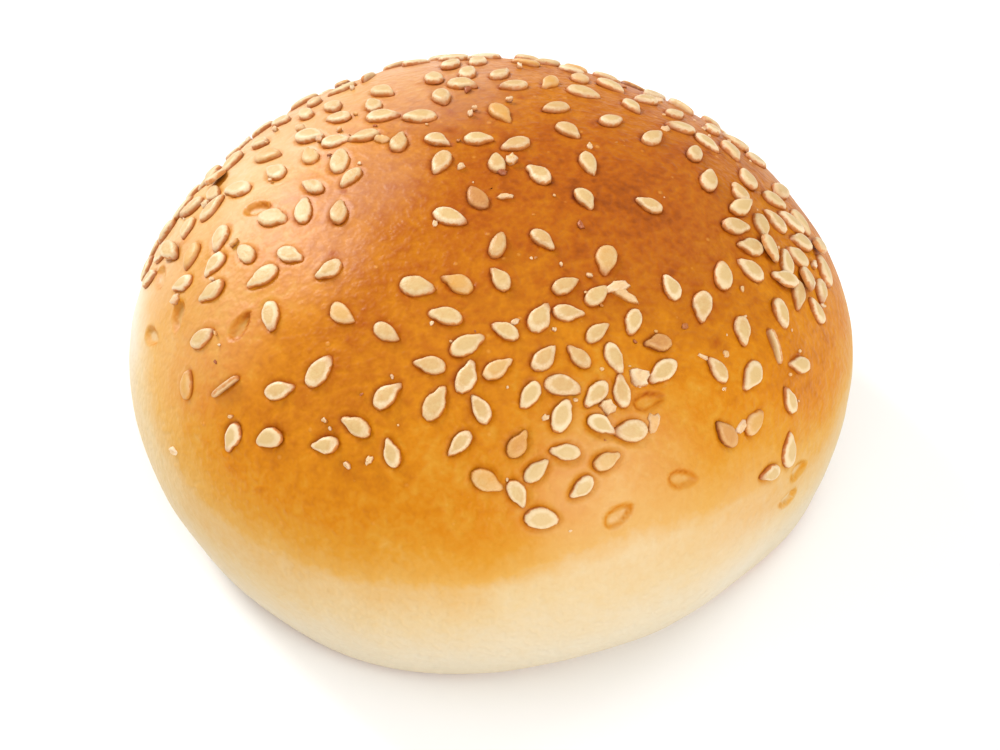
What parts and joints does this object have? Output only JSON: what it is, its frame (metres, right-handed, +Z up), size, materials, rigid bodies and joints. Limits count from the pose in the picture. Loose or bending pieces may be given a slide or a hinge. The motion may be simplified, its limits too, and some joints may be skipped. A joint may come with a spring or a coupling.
{
  "type": "bread roll",
  "caption": "Round soft bread roll with a low browned dome sprinkled with sesame seeds, on a flat base it rests on.",
  "frame": {"origin": "middle of the flat base that the roll rests on", "axes": "+Z up through the crown, -Y towards the viewer, +X to the viewer's right"},
  "size_m": [0.0823, 0.0801, 0.0426],
  "materials": {
    "crust": "satin",
    "seed": "matt",
    "toasted_seed": "matt",
    "crumb": "matt"
  },
  "bodies": {
    "root": {"bread_roll": "crust"}
  },
  "joints": []
}
